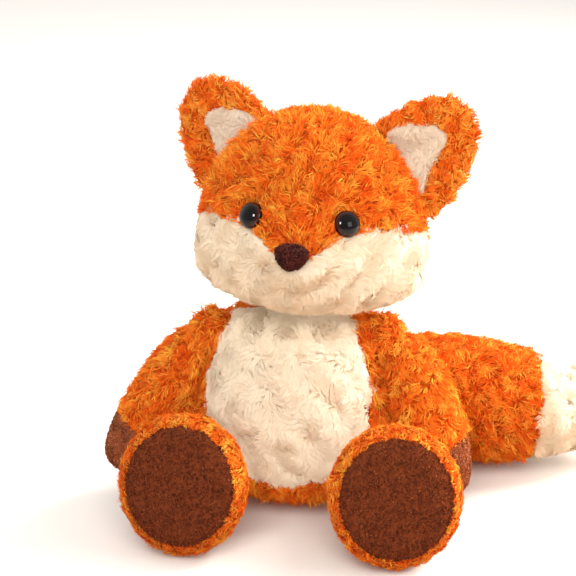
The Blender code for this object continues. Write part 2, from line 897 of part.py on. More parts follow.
# Limbs: arms, legs and tail
limbs = {}
for side, sign in SIDES.items():
    out = body_side(SHOULDER_HEIGHT, SHOULDER_FORWARD) + SHOULDER_OUTSET
    shoulder = Vector((sign * out, -SHOULDER_FORWARD, SHOULDER_HEIGHT))
    turn = rotation(-sign * SHOULDER_YAWS[side], "Z")
    limbs["arm_" + side] = {
        "point": arm_point,
        "options": {"bow": sign * ARM_BOWS[side]},
        "grid": ARM_GRID,
        "joint": Matrix.Translation(shoulder) @ turn @ rotation(-sign * ARM_SPREADS[side], "Y"),
        "axis": Vector((0, -sign, 0)),
        "angles": steps(0.0, ARM_LIFT_ANGLE, 4),
        "root": (SHOULDER_RADIUS, SHOULDER_HALF_LENGTH),
        "inward": turn @ Vector((-sign, 0, 0)),
        "seam": SEAM_AT_SHOULDER,
    }
    hip = Vector((sign * HIP_OUT, -body_face(HIP_HEIGHT, HIP_OUT), HIP_HEIGHT))
    facing = rotation(sign * FOOT_YAWS[side], "Z") @ rotation(90.0 - FOOT_PITCH, "X")
    hip_joint = Matrix.Translation(hip) @ facing
    options = {
        "length": LEG_LENGTHS[side],
        "wide": FOOT_HALF_WIDTHS[side],
        "outset": sign * FOOT_OUTSETS[side],
    }
    options["rise"] = resting_rise(leg_point, LEG_GRID, hip_joint, FOOT_PITCH, **options)
    limbs["leg_" + side] = {
        "point": leg_point,
        "options": options,
        "grid": LEG_GRID,
        "joint": hip_joint,
        "axis": Vector((-1, 0, 0)),
        "angles": steps(-LEG_LIFT_ANGLE, LEG_LIFT_ANGLE, 5),
        "root": (HIP_RADIUS, HIP_RADIUS),
        "inward": facing.to_3x3() @ Vector((0, 0, -1)),
        "seam": SEAM_AT_HIP,
    }
tail_back = BODY_BACK / BODY_FRONT * body_face(TAIL_ROOT_HEIGHT, TAIL_ROOT_OUT)
tail_root = Vector((TAIL_ROOT_OUT, tail_back + TAIL_ROOT_OUTSET, TAIL_ROOT_HEIGHT))
limbs["tail"] = {
    "point": tail_point,
    "options": {},
    "grid": TAIL_GRID,
    "joint": Matrix.Translation(tail_root),
    "axis": Vector((0, 0, 1)),
    "angles": steps(0.0, TAIL_SWING_ANGLE, 7),
    "root": (TAIL_ROOT_RADIUS, TAIL_ROOT_RADIUS),
    "inward": Vector((0, -1, 0)),
    "seam": SEAM_AT_TAIL,
}
for name, limb in limbs.items():
    limb["cover"], limb["filling"] = limb_parts(name, limb)
    cut(body, limb["socket"])
    cut(body_filling, limb["socket"])

belly = split(body, "belly", belly_hole, belly_shape)
body_cover = keep(body, "body_cover", None, ORANGE)
keep(belly, "belly_panel", body_cover, CREAM)
keep(body_filling, "body_stuffing", body_cover, STUFFING)

for side, sign in SIDES.items():
    limb = limbs["arm_" + side]
    wrist = limb["joint"] @ Vector((0, 0, PAW_LENGTH - ARM_LENGTH))
    along = limb["joint"].to_3x3() @ Vector((0, 0, -1))
    cuff = half_space("cuff " + side, wrist, along)
    paw_end = half_space("paw end " + side, wrist + along * SEAM_GAP, along)
    paw = split(limb["cover"], "paw", cuff, paw_end)
    sleeve = keep(limb["cover"], "arm_sleeve_" + side, body_cover, ORANGE)
    keep(paw, "paw_" + side, sleeve, BROWN)
    keep(limb["filling"], "arm_stuffing_" + side, sleeve, STUFFING)

    limb = limbs["leg_" + side]
    length = LEG_LENGTHS[side]
    panels = []
    for margin in (0.0, SEAM_GAP):
        mesh = cylinder_mesh("sole edge", 1.0, length - SOLE_DEPTH + margin, length + CUT_OVERRUN)
        wide = SOLE_SHARE * FOOT_HALF_WIDTHS[side] - margin
        tall = SOLE_SHARE * FOOT_HALF_HEIGHT - margin
        mesh.transform(Matrix.Diagonal((wide, tall, 1, 1)))
        mesh.transform(Matrix.Translation((sign * FOOT_OUTSETS[side], limb["options"]["rise"], 0)))
        panels.append(put("sole edge", mesh, limb["joint"], cutter=True))
    sole = split(limb["cover"], "sole", *panels)
    leg = keep(limb["cover"], "leg_cover_" + side, body_cover, ORANGE)
    keep(sole, "sole_" + side, leg, BROWN)
    keep(limb["filling"], "leg_stuffing_" + side, leg, STUFFING)

limb = limbs["tail"]
middle, heading = tail_spine(TAIL_TIP_SHARE)
tip_seam = limb["joint"] @ middle
tip_start = half_space("tail tip seam", tip_seam, heading)
tip_end = half_space("tail tip start", tip_seam + heading * SEAM_GAP, heading)
tip = split(limb["cover"], "tip", tip_start, tip_end)
tail = keep(limb["cover"], "tail_cover", body_cover, ORANGE)
keep(tip, "tail_tip", tail, CREAM)
keep(limb["filling"], "tail_stuffing", tail, STUFFING)

# Neck and head
neck = put(
    "neck_stuffing",
    ball_mesh("neck_stuffing", NECK_RADIUS, NECK_RADIUS, Vector((0, 0, 1))),
    neck_joint,
    STUFFING,
    body_cover,
)
head_place = neck_joint @ rotation(HEAD_ROLL, "Y")
head_inner = inner_grid(HEAD_GRID)
head = put("head outside", form_mesh("head", HEAD_GRID, head_point), head_place, cutter=True)
hollow = form_mesh("head inside", head_inner, head_point, inset=PLUSH)
filling = form_mesh("head filling", head_inner, head_point, inset=PLUSH + CLEARANCE)
head_filling = put("head filling", filling, head_place, cutter=True)
cut(head, put("head inside", hollow, head_place, cutter=True), neck_socket)
cut(head_filling, neck_socket)
head_reach = put(
    "head reach",
    form_mesh("head reach", HEAD_GRID, head_point, inset=-CLEARANCE),
    head_place,
    cutter=True,
)
head_core = put(
    "head core",
    form_mesh("head core", head_inner, head_point, inset=PLUSH - CLEARANCE),
    head_place,
    cutter=True,
)

# Ears
ears = {}
for side, sign in SIDES.items():
    root = Vector((sign * EAR_ROOT_OUT, EAR_BACK, EAR_ROOT_HEIGHT))
    joint = head_place @ Matrix.Translation(root)
    lean = math.radians(EAR_ROOT_LEAN)
    axis = Vector((sign * math.sin(lean), 0, -math.cos(lean)))
    place = Matrix.Translation(Vector((sign * EAR_OUTS[side], EAR_BACK, EAR_HEIGHT)) - root)
    facing = place @ rotation(sign * EAR_YAW, "Z")
    leaning = facing @ rotation(sign * EAR_LEANS[side], "Y")
    angles = steps(-EAR_FOLD_ANGLE, EAR_FOLD_ANGLE, 3)
    solids = []
    for grid, inset in (
        (EAR_GRID, 0.0),
        (inner_grid(EAR_GRID), EAR_PLUSH),
        (inner_grid(EAR_GRID), EAR_PLUSH + CLEARANCE),
        (EAR_GRID, -CLEARANCE),
    ):
        mesh = form_mesh("ear", grid, ear_point, inset=inset, sign=sign)
        mesh.transform(leaning)
        solids.append(put("ear " + side, mesh, joint, cutter=True))
    ear, ear_hollow, ear_filling, ear_reach = solids
    swept_cut(ear, head_core, joint, axis, angles)
    cut(ear, ear_hollow)
    swept_cut(ear_filling, head_core, joint, axis, angles)
    for angle in angles:
        ear_reach.matrix_world = joint @ rotation(angle, axis)
        bpy.context.view_layer.update()
        cut(head, ear_reach)
    outlines = []
    for margin in (0.0, SEAM_GAP):
        height = EAR_LINING_TOP - EAR_LINING_BOTTOM - margin
        shift = -sign * EAR_LINING_INSET
        right = [
            (wide * EAR_LINING_HALF_WIDTH - margin, EAR_LINING_BOTTOM + up * height)
            for wide, up in EAR_LINING_SHARES
        ]
        outline = [(shift + x, z) for x, z in right] + [(shift - x, z) for x, z in reversed(right)]
        mesh = prism_mesh("lining", outline, -CUT_OVERRUN, EAR_LINING_DEPTH_SHARE * EAR_CUP - margin)
        mesh.transform(facing)
        outlines.append(put("lining " + side, mesh, joint, cutter=True))
    lining = split(ear, "lining", *outlines)
    ears[side] = (ear, lining, ear_filling)

# Eyes and their washers
sights = {}
for side, sign in SIDES.items():
    across = sign * EYE_SPACING_SHARE * HEAD_HALF_WIDTH
    point = face_point(across, EYE_HEIGHT)
    normal = face_normal(across, EYE_HEIGHT)
    turn = Vector((0, 0, 1)).rotation_difference(normal).to_matrix().to_4x4()
    place = head_place @ Matrix.Translation(point - normal * EYE_SINK) @ turn
    sights[side] = place
    seat_radius = EYE_RADIUS + CLEARANCE
    seat_depth = -EYE_FLANGE - CLEARANCE
    shank_end = -SHANK_LENGTH - CLEARANCE
    hole_radius = SHANK_RADIUS + CLEARANCE
    pocket_radius = WASHER_RADIUS + CLEARANCE
    pocket_end = -WASHER_DEPTH - WASHER_THICKNESS - CLEARANCE
    seat = cylinder_mesh("eye seat", seat_radius, seat_depth, CUT_OVERRUN)
    hole = cylinder_mesh("shank hole", hole_radius, shank_end, CUT_OVERRUN)
    inside = cylinder_mesh("washer space", pocket_radius, shank_end, CLEARANCE - WASHER_DEPTH)
    pocket = cylinder_mesh("washer pocket", pocket_radius, pocket_end, CUT_OVERRUN)
    shank_hole = put("shank hole", hole, place, cutter=True)
    cut(head, put("eye seat", seat, place, cutter=True), shank_hole)
    cut(head, put("washer space", inside, place, cutter=True))
    cut(head_filling, put("washer pocket", pocket, place, cutter=True), shank_hole)


def mask_outline(sign, margin):
    """The outline of one cheek panel, as (x, z) points, with its edges moved in."""
    rise = MASK_CHEEK_HEIGHT - MASK_NOSE_HEIGHT
    edge = [
        (wide * MASK_HALF_WIDTH, MASK_NOSE_HEIGHT + up * rise - margin)
        for wide, up in MASK_EDGE_SHARES
    ]
    edge[0] = (margin / 2 + SEAM_GAP / 2, edge[0][1])
    outer = MASK_HALF_WIDTH + CUT_OVERRUN
    edge.append((MASK_HALF_WIDTH, MASK_SIDE_HEIGHT - margin))
    edge.append((outer, MASK_SIDE_HEIGHT - margin))
    edge.append((outer, -CUT_OVERRUN))
    edge.append((edge[0][0], -CUT_OVERRUN))
    return [(sign * x, z) for x, z in edge]


MASK_FRONT = -HEAD_FRONT - MUZZLE_REACH - CUT_OVERRUN
cheeks = {}
for side, sign in SIDES.items():
    outlines = []
    for margin in (0.0, SEAM_GAP):
        outline = mask_outline(sign, margin)
        mesh = prism_mesh("cheek edge", outline, MASK_FRONT, MASK_BACK - margin)
        outlines.append(put("cheek edge " + side, mesh, head_place, cutter=True))
    cheeks[side] = twin(head, "cheek " + side)
    combine(cheeks[side], outlines[1], "INTERSECT")
    outlines[0].data.transform(Matrix.Translation((-sign * SEAM_GAP, 0, 0)))
    cut(head, outlines[0])

head_cover = keep(head, "head_cover", neck, ORANGE)
keep(head_filling, "head_stuffing", head_cover, STUFFING)
for side, sign in SIDES.items():
    keep(cheeks[side], "cheek_panel_" + side, head_cover, CREAM)
    ear, lining, ear_filling = ears[side]
    ear_cover = keep(ear, "ear_cover_" + side, head_cover, ORANGE)
    keep(lining, "ear_lining_" + side, ear_cover, CREAM)
    keep(ear_filling, "ear_stuffing_" + side, ear_cover, STUFFING)
    arc = [math.pi / 2 * (1 - place / EYE_DOME_RINGS) for place in range(EYE_DOME_RINGS + 1)]
    profile = [(EYE_RADIUS * math.cos(turn), EYE_DOME * math.sin(turn)) for turn in arc]
    profile[0] = (0, EYE_DOME)
    profile += [
        (EYE_RADIUS, -EYE_FLANGE),
        (SHANK_RADIUS, -EYE_FLANGE),
        (SHANK_RADIUS, -SHANK_LENGTH),
        (0, -SHANK_LENGTH),
    ]
    eye = put("eye", turned_mesh("eye", profile), sights[side], cutter=True)
    keep(eye, "eye_" + side, head_cover, EYE_BLACK)
    top = -WASHER_DEPTH
    bottom = -WASHER_DEPTH - WASHER_THICKNESS
    washer = put(
        "washer", cylinder_mesh("washer", WASHER_RADIUS, bottom, top), sights[side], cutter=True
    )
    bore = cylinder_mesh("washer bore", SHANK_RADIUS + CLEARANCE, bottom - PLUSH, top + PLUSH)
    cut(washer, put("washer bore", bore, sights[side], cutter=True))
    keep(washer, "eye_washer_" + side, head_cover, WASHER_WHITE)

# Nose
tip = face_point(0.0, NOSE_HEIGHT)
nose_place = (
    head_place @ Matrix.Translation(tip + Vector((0, NOSE_SINK, 0))) @ rotation(-NOSE_PITCH, "X")
)
nose = put("nose", form_mesh("nose", NOSE_GRID, nose_point), nose_place, cutter=True)
hollow = form_mesh("nose inside", NOSE_GRID, nose_point, inset=VELOUR)
filling = form_mesh("nose filling", NOSE_GRID, nose_point, inset=VELOUR + CLEARANCE)
nose_filling = put("nose filling", filling, nose_place, cutter=True)
cut(nose, put("nose inside", hollow, nose_place, cutter=True), head_reach)
cut(nose_filling, head_reach)
keep(nose, "nose_cover", head_cover, NOSE_BROWN)
keep(nose_filling, "nose_stuffing", head_cover, STUFFING)
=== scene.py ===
"""How the plush fox looks: curly orange and cream pile, short brown pile and glossy eyes.

Each soft part gets a smooth skin, drawn inside the solids that it stands for, and pile that
grows out of that skin as locks of tapered strands. Lengths are in metres and angles in degrees.
The colour of a strand comes from its UV place: across is its tone, up is from root to tip, along
which painted shade darkens the root.
"""

import json
import math

import bmesh
import bpy
import numpy as np
from mathutils import Matrix, Vector
from mathutils.bvhtree import BVHTree
from mathutils.kdtree import KDTree


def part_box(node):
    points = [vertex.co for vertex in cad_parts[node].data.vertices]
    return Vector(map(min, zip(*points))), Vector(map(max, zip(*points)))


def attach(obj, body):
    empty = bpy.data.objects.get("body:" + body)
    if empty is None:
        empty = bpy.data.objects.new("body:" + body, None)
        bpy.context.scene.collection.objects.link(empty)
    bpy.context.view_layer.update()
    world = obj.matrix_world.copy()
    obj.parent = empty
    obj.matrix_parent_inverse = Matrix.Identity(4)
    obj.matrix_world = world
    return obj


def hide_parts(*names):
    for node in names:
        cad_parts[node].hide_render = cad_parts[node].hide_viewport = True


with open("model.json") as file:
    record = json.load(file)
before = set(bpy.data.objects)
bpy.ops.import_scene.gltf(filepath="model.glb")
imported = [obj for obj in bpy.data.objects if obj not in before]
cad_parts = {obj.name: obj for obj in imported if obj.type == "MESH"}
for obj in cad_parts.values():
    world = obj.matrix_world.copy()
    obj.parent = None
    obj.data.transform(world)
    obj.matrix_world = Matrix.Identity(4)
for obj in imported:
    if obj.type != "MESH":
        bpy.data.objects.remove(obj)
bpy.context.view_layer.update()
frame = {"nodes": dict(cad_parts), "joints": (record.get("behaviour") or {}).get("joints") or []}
NODES = frame["nodes"]
JOINTS = {joint["name"]: joint for joint in frame["joints"]}

# Camera, set so that the fox stands in the picture as in the photograph
CAMERA_TURN = 6.0
CAMERA_RISE = 20.0
CAMERA_DISTANCE = 1.10
CAMERA_TARGET = Vector((-0.003, -0.045, 0.170))
CAMERA_LENS = 99.6

# Skins
VOXEL = 0.0025
EAR_VOXEL = 0.0016
NECK_VOXEL = 0.0016
NOSE_VOXEL = 0.001
SMOOTHING = 14
INSET_ROUNDS = 6
ARM_INSET_SHARE = 0.72
LEG_INSET_SHARE = 0.38
EAR_INSET_SHARE = 0.75
NECK_INSET_SHARE = 0.3

# Radii of the balls that close the skins over their sockets
SHOULDER_FILL = 0.019
HIP_FILL = 0.0255
TAIL_FILL = 0.0215
NECK_FILL = 0.026
HEAD_FILL = 0.028
HEAD_FILL_RISE = 0.006

# Radii round joints, nose and eyes within which no pile grows
SHOULDER_BARE = 0.012
HIP_BARE = 0.016
TAIL_BARE = 0.014
ARM_ROOT_BARE = 0.014
TAIL_ROOT_BARE = 0.017
NECK_BARE = 0.022
NOSE_BARE = 0.007
EYE_BARE = 0.0085

# Pile
FLOOR_GAP = 0.0004
PIECE_STRANDS = 60000
WISP_STRANDS = 5
STRAND_STEPS = (0.0, 0.55)
WIDTH_SHARES = (0.9, 0.95)
BLADE_ROUNDING = 0.6
BLADE_WIDTHS = (0.75, 1.2)
TIP_SHIFT_SHARE = 0.45
TIP_JITTER_SHARE = 0.025
BOW_TURN = 1.6
UV_HALF_WIDTH = 0.012
UV_MARGIN = 0.01
TONE_LIMITS = (0.02, 0.98)
LUMP = 0.016
WAVES = 12
CHEEK_DROP = 0.25

# Locks, and the wisps that they are made of
FEWEST_LOCKS = 4
LOCK_LIFTS = (-0.4, 0.5)
LOCK_REACH = 0.94
LOCK_REACHES = (-0.22, 0.18)
LOCK_TONE = 0.08
LOCK_EDGE = 1.2
LOCK_MIDDLE_SIZE = 1.05
LOCK_EDGE_LOSS = 0.18
# Painted shade: strands are lighter in a lock's middle and darker at its edge, where the creases
# between locks lie
LOCK_MIDDLE_PAINTED_LIGHT = 0.06
LOCK_EDGE_PAINTED_SHADE = 0.12
WISP_SIZES = (0.74, 1.06)
WISP_BOWS = (0.2, 1.6)
WISP_TONE = 0.10

# Eyes
EYE_SIDES = 48
EYE_RIM_SHARE = 0.97
EYE_BACK_SHARE = 0.2
EYE_UV_MARGIN = 0.001

# Floor, backdrop and lamps
FLOOR_SIZE = 6.0
FLOOR_SEEN = (0.80, 0.76, 0.71)
FLOOR_BOUNCE = (0.46, 0.30, 0.18)
BACKDROP_TONES = ((0.0, (0.44, 0.44, 0.45)), (0.42, (0.62, 0.62, 0.63)), (0.62, (1.0, 1.0, 1.0)))
BACKDROP_STRENGTH = 1.24
LAMP_AIM = Vector((0, 0, 0.15))


def link(obj):
    bpy.context.scene.collection.objects.link(obj)
    return obj


def unit(vectors):
    """Vectors with their length set to one."""
    return vectors / np.maximum(np.linalg.norm(vectors, axis=1, keepdims=True), 1e-9)


def swirl(points, wave, seed):
    """Smooth wandering vectors: a sum of waves that run in scattered directions."""
    rng = np.random.default_rng(seed)
    total = np.zeros_like(points)
    for _ in range(WAVES):
        heading = rng.normal(size=3)
        heading /= np.linalg.norm(heading)
        phase = rng.uniform(0, math.tau)
        push = rng.normal(size=3)
        total += np.sin(points @ heading * (math.tau / wave) + phase)[:, None] * push
    return total / math.sqrt(WAVES / 2)


# Materials


def shader_material(name, roughness, sheen=0.0, gloss=0.5, sheen_tint=(1, 1, 1)):
    """A material with its Principled shader, node tree and a maker of further nodes."""
    made = bpy.data.materials.new(name)
    made.use_nodes = True
    tree = made.node_tree
    shader = tree.nodes["Principled BSDF"]
    shader.inputs["Roughness"].default_value = roughness
    shader.inputs["Sheen Weight"].default_value = sheen
    shader.inputs["Sheen Roughness"].default_value = 0.5
    shader.inputs["Sheen Tint"].default_value = (*sheen_tint, 1)
    shader.inputs["Specular IOR Level"].default_value = gloss
    return made, tree, shader


def ramp(tree, factor, stops):
    """A colour ramp node over (place, colour) stops, fed by a factor socket."""
    node = tree.nodes.new("ShaderNodeValToRGB")
    elements = node.color_ramp.elements
    while len(elements) < len(stops):
        elements.new(0.5)
    for element, (place, colour) in zip(elements, stops):
        element.position = place
        element.color = (*colour, 1)
    tree.links.new(factor, node.inputs["Fac"])
    return node.outputs["Color"]


def pile_material(name, tones, painted_root_shades, glow=0.0, roughness=0.8, sheen=0.04, sheen_tint=(1, 1, 1)):
    """Pile: tones across the UV map, multiplied by painted shade from root to tip: dark at the
    roots, deep in the pile, and lightest at the tips.

    A faint glow in the middle tone stands in for the light that passes through the fibres.
    """
    made, tree, shader = shader_material(name, roughness, sheen, gloss=0.12, sheen_tint=sheen_tint)
    shader.inputs["Emission Color"].default_value = (*tones[1][1], 1)
    shader.inputs["Emission Strength"].default_value = glow
    place = tree.nodes.new("ShaderNodeUVMap")
    place.uv_map = "OFBake"
    split = tree.nodes.new("ShaderNodeSeparateXYZ")
    tree.links.new(place.outputs["UV"], split.inputs[0])
    tone = ramp(tree, split.outputs["X"], tones)
    # Painted shade: darkest at the roots, deep in the pile, up to the plain tone at the tips
    painted_shade = ramp(tree, split.outputs["Y"], painted_root_shades)
    mix = tree.nodes.new("ShaderNodeMix")
    mix.data_type = "RGBA"
    mix.blend_type = "MULTIPLY"
    mix.inputs["Factor"].default_value = 1.0
    tree.links.new(tone, mix.inputs["A"])
    tree.links.new(painted_shade, mix.inputs["B"])
    tree.links.new(mix.outputs["Result"], shader.inputs["Base Color"])
    return made


def skin_material(name, low, high, grain, bump):
    """The backing under the pile: two shades in a fine grain."""
    made, tree, shader = shader_material(name, roughness=0.95, gloss=0.1)
    place = tree.nodes.new("ShaderNodeTexCoord")
    noise = tree.nodes.new("ShaderNodeTexNoise")
    noise.inputs["Scale"].default_value = 1 / grain
    noise.inputs["Detail"].default_value = 3.0
    tree.links.new(place.outputs["Object"], noise.inputs["Vector"])
    colour = ramp(tree, noise.outputs["Fac"], ((0.35, low), (0.65, high)))
    tree.links.new(colour, shader.inputs["Base Color"])
    raised = tree.nodes.new("ShaderNodeBump")
    raised.inputs["Strength"].default_value = bump
    raised.inputs["Distance"].default_value = 0.0005
    tree.links.new(noise.outputs["Fac"], raised.inputs["Height"])
    tree.links.new(raised.outputs["Normal"], shader.inputs["Normal"])
    return made


ORANGE_PILE = pile_material(
    "orange pile",
    ((0.0, (0.78, 0.085, 0.003)), (0.5, (0.88, 0.20, 0.007)), (1.0, (0.94, 0.55, 0.070))),
    ((0.0, (0.66, 0.22, 0.10)), (0.5, (0.95, 0.80, 0.68)), (1.0, (1.0, 1.0, 1.0))),
    glow=0.05,
    sheen=0.16,
    sheen_tint=(1.0, 0.66, 0.22),
)
# The ears' orange pile is a lighter, yellower copy of the orange pile with twice its glow: painted
# backlight, as if light passed through the thin ears
EAR_PILE_PAINTED_BACKLIT = pile_material(
    "ear orange pile",
    ((0.0, (0.82, 0.10, 0.005)), (0.5, (0.90, 0.25, 0.013)), (1.0, (0.95, 0.62, 0.12))),
    ((0.0, (0.68, 0.26, 0.12)), (0.5, (0.95, 0.82, 0.70)), (1.0, (1.0, 1.0, 1.0))),
    glow=0.10,
    sheen=0.16,
    sheen_tint=(1.0, 0.66, 0.22),
)
CREAM_PILE = pile_material(
    "cream pile",
    ((0.0, (0.75, 0.59, 0.41)), (0.5, (0.83, 0.73, 0.58)), (1.0, (0.86, 0.80, 0.69))),
    ((0.0, (0.97, 0.84, 0.68)), (0.5, (0.99, 0.96, 0.91)), (1.0, (1.0, 1.0, 1.0))),
    glow=0.09,
)
EAR_PILE = pile_material(
    "inner ear pile",
    ((0.0, (0.62, 0.47, 0.34)), (0.5, (0.73, 0.62, 0.49)), (1.0, (0.80, 0.72, 0.61))),
    ((0.0, (0.90, 0.82, 0.72)), (0.5, (0.98, 0.95, 0.92)), (1.0, (1.0, 1.0, 1.0))),
    glow=0.07,
)
SOLE_PILE = pile_material(
    "sole pile",
    ((0.0, (0.060, 0.008, 0.002)), (0.5, (0.155, 0.025, 0.004)), (1.0, (0.36, 0.095, 0.030))),
    ((0.0, (0.60, 0.5, 0.45)), (0.7, (1.0, 1.0, 1.0)), (1.0, (1.0, 1.0, 1.0))),
    sheen=0.08,
    sheen_tint=(1.0, 0.62, 0.40),
)
PAW_PILE = pile_material(
    "paw pile",
    ((0.0, (0.22, 0.055, 0.018)), (0.5, (0.40, 0.115, 0.042)), (1.0, (0.60, 0.23, 0.11))),
    ((0.0, (0.60, 0.5, 0.45)), (0.7, (1.0, 1.0, 1.0)), (1.0, (1.0, 1.0, 1.0))),
)
NOSE_PILE = pile_material(
    "nose pile",
    ((0.0, (0.034, 0.005, 0.003)), (0.5, (0.072, 0.011, 0.007)), (1.0, (0.17, 0.038, 0.026))),
    ((0.0, (0.6, 0.6, 0.6)), (0.7, (1.0, 1.0, 1.0)), (1.0, (1.0, 1.0, 1.0))),
)
ORANGE_SKIN = skin_material("orange backing", (0.52, 0.075, 0.003), (0.66, 0.11, 0.005), 0.002, 0.4)
CREAM_SKIN = skin_material("cream backing", (0.80, 0.66, 0.50), (0.88, 0.76, 0.62), 0.002, 0.4)
SOLE_SKIN = skin_material("sole backing", (0.12, 0.024, 0.007), (0.19, 0.040, 0.012), 0.0012, 0.4)
PAW_SKIN = skin_material("paw backing", (0.24, 0.063, 0.022), (0.33, 0.092, 0.035), 0.0012, 0.4)
NOSE_SKIN = skin_material("nose backing", (0.03, 0.005, 0.004), (0.05, 0.008, 0.007), 0.0012, 0.4)


def eye_material():
    """Eye plastic: black in the middle and red-brown at the rim, with a clear gloss."""
    made, tree, shader = shader_material("eye plastic", roughness=0.03, gloss=0.22)
    place = tree.nodes.new("ShaderNodeUVMap")
    place.uv_map = "OFBake"
    split = tree.nodes.new("ShaderNodeSeparateXYZ")
    tree.links.new(place.outputs["UV"], split.inputs[0])
    stops = (
        (0.0, (0.003, 0.002, 0.002)),
        (0.66, (0.004, 0.002, 0.002)),
        (0.78, (0.018, 0.004, 0.003)),
        (0.92, (0.050, 0.010, 0.005)),
        (0.98, (0.012, 0.003, 0.002)),
    )
    colour = ramp(tree, split.outputs["X"], stops)
    tree.links.new(colour, shader.inputs["Base Color"])
    return made


EYE_PLASTIC = eye_material()

# Each fabric: its pile and backing, how deep its backing lies, and how its pile grows
FABRICS = {
    "orange": {
        "pile": ORANGE_PILE,
        "skin": ORANGE_SKIN,
        "slot": "orange_plush",
        "inset": 0.0050,
        "length": 0.0088,
        "rise": 0.72,
        "density": 3.9e6,
        "lock": 0.0029,
        "gather": 0.12,
        "wisp": 0.00028,
        "width": 0.00034,
        "curl": 0.0013,
        "wave": 0.013,
        "wander": 1.3,
        "scatter": 0.45,
        "ruffle": 0.60,
        "contrast": 1.7,
        "jitter": 0.15,
        "fleck": 0.18,
        "patch": 0.08,
        "puff": 0.5,
        "smooth": 0.0,
        "variety": 1.3,
        "stray": 0.25,
        "trim": 0.4,
    },
    "cream": {
        "pile": CREAM_PILE,
        "skin": CREAM_SKIN,
        "slot": "cream_plush",
        "inset": 0.0042,
        "length": 0.0092,
        "rise": 0.5,
        "density": 3.9e6,
        "lock": 0.0060,
        "gather": 0.0,
        "wisp": 0.0007,
        "width": 0.00042,
        "curl": 0.0014,
        "wave": 0.020,
        "wander": 1.6,
        "scatter": 0.10,
        "ruffle": 0.10,
        "contrast": 0.4,
        "jitter": 0.08,
        "fleck": 0.05,
        "patch": 0.16,
        "puff": 0.42,
        "smooth": 0.35,
        "variety": 0.3,
        "stray": 0.18,
        "trim": 0.75,
    },
    "ear": {
        "pile": EAR_PILE,
        "skin": CREAM_SKIN,
        "slot": "ear_plush",
        "inset": 0.0026,
        "margin": 0.0012,
        "length": 0.0062,
        "rise": 0.34,
        "density": 4.0e6,
        "lock": 0.0045,
        "gather": 0.0,
        "wisp": 0.0006,
        "width": 0.00038,
        "curl": 0.0008,
        "wave": 0.020,
        "wander": 1.1,
        "scatter": 0.10,
        "ruffle": 0.15,
        "contrast": 0.5,
        "jitter": 0.08,
        "fleck": 0.05,
        "patch": 0.10,
        "puff": 0.4,
        "smooth": 0.35,
        "variety": 0.3,
        "stray": 0.15,
        "trim": 0.6,
    },
    "sole": {
        "pile": SOLE_PILE,
        "skin": SOLE_SKIN,
        "slot": "sole_velour",
        "inset": 0.0018,
        "length": 0.0018,
        "rise": 1.6,
        "density": 3.2e6,
        "lock": 0.0010,
        "gather": 0.4,
        "wisp": 0.0002,
        "width": 0.00045,
        "curl": 0.0001,
        "wave": 0.012,
        "wander": 1.2,
        "scatter": 0.35,
        "ruffle": 0.35,
        "contrast": 1.8,
        "jitter": 0.10,
        "fleck": 0.10,
        "patch": 0.02,
        "puff": 0.5,
        "smooth": 0.0,
        "variety": 1.0,
        "stray": 0.2,
        "margin": 0.0012,
        "trim": 0.8,
    },
    "paw": {
        "pile": PAW_PILE,
        "skin": PAW_SKIN,
        "slot": "paw_velour",
        "inset": 0.0018,
        "length": 0.0018,
        "rise": 1.6,
        "density": 3.2e6,
        "lock": 0.0010,
        "gather": 0.4,
        "wisp": 0.0002,
        "width": 0.00045,
        "curl": 0.0001,
        "wave": 0.012,
        "wander": 1.2,
        "scatter": 0.35,
        "ruffle": 0.35,
        "contrast": 1.6,
        "jitter": 0.10,
        "fleck": 0.10,
        "patch": 0.03,
        "puff": 0.5,
        "smooth": 0.0,
        "variety": 1.0,
        "stray": 0.2,
        "trim": 0.8,
    },
    "nose": {
        "pile": NOSE_PILE,
        "skin": NOSE_SKIN,
        "slot": "nose_velour",
        "inset": 0.0012,
        "length": 0.0024,
        "rise": 0.9,
        "density": 6.0e6,
        "lock": 0.0014,
        "gather": 0.4,
        "wisp": 0.0003,
        "width": 0.00040,
        "curl": 0.0002,
        "wave": 0.010,
        "wander": 0.8,
        "scatter": 0.35,
        "ruffle": 0.35,
        "contrast": 1.0,
        "jitter": 0.10,
        "fleck": 0.07,
        "patch": 0.08,
        "puff": 0.5,
        "smooth": 0.0,
        "variety": 1.0,
        "stray": 0.2,
        "trim": 1.0,
    },
}

# How the pile of single parts differs from that of their fabric
ARM_COAT = {"length": 0.0080, "rise": 0.55, "wander": 0.7, "scatter": 0.4, "contrast": 1.4}
LEG_COAT = {"length": 0.0058, "rise": 0.45, "wander": 0.5, "scatter": 0.25, "jitter": 0.09}
TAIL_COAT = {"length": 0.0098, "rise": 0.85, "contrast": 1.8}
EAR_COAT = {
    # The ears take the lighter orange pile with painted backlight
    "pile": EAR_PILE_PAINTED_BACKLIT,
    "length": 0.0074,
    "rise": 0.62,
    "lock": 0.0028,
    "scatter": 0.4,
}
NECK_COAT = {"length": 0.0074, "density": 3.0e6}


# Skins


def evaluated(obj):
    """The mesh of an object with its modifiers applied; the object is removed."""
    graph = bpy.context.evaluated_depsgraph_get()
    mesh = bpy.data.meshes.new_from_object(obj.evaluated_get(graph))
    bpy.data.objects.remove(obj)
    return mesh


def solids(nodes):
    """The solids of some nodes in one bmesh."""
    shape = bmesh.new()
    for node in nodes:
        shape.from_mesh(NODES[node].data)
    return shape


